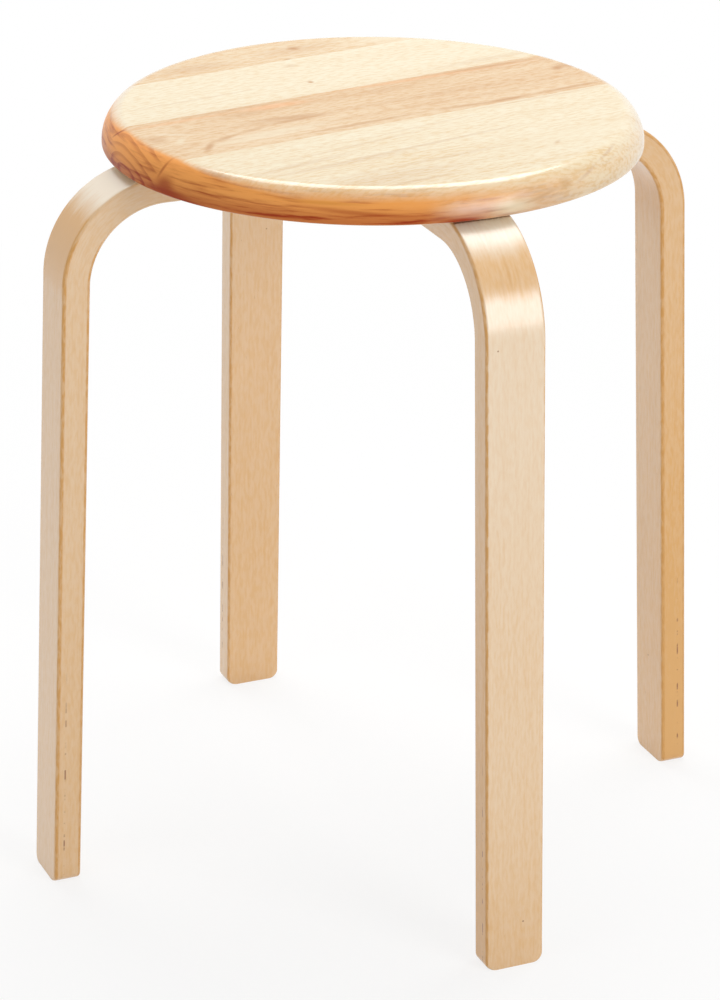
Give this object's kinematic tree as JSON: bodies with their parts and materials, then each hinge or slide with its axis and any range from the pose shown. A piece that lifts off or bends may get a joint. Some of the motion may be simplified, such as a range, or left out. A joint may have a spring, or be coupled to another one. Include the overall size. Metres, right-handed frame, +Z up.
{
  "type": "stacking stool",
  "caption": "Backless stacking stool with a round edge-glued wooden seat and bent plywood legs that stand outside its rim.",
  "frame": {"origin": "on the floor, under the middle of the seat", "axes": "+Z up; the right leg stands on +X, the back leg on +Y, the left leg on -X and the front leg on -Y"},
  "size_m": [0.421, 0.421, 0.45],
  "materials": {
    "seat_cream": "clear gloss lacquer over pale solid wood",
    "seat_rosy": "clear gloss lacquer over rosy brown-streaked solid wood",
    "seat_tan": "clear gloss lacquer over tan solid wood",
    "leg_plywood": "clear lacquer over moulded plywood",
    "screw_steel": "zinc plated"
  },
  "bodies": {
    "root": {"seat_board_1": "seat_cream", "seat_board_2": "seat_cream", "seat_board_3": "seat_rosy", "seat_board_4": "seat_cream", "seat_board_5": "seat_tan", "leg_right": "leg_plywood", "leg_back": "leg_plywood", "leg_left": "leg_plywood", "leg_front": "leg_plywood", "screw_right_1": "screw_steel", "screw_right_2": "screw_steel", "screw_right_3": "screw_steel", "screw_back_1": "screw_steel", "screw_back_2": "screw_steel", "screw_back_3": "screw_steel", "screw_left_1": "screw_steel", "screw_left_2": "screw_steel", "screw_left_3": "screw_steel", "screw_front_1": "screw_steel", "screw_front_2": "screw_steel", "screw_front_3": "screw_steel"}
  },
  "joints": []
}
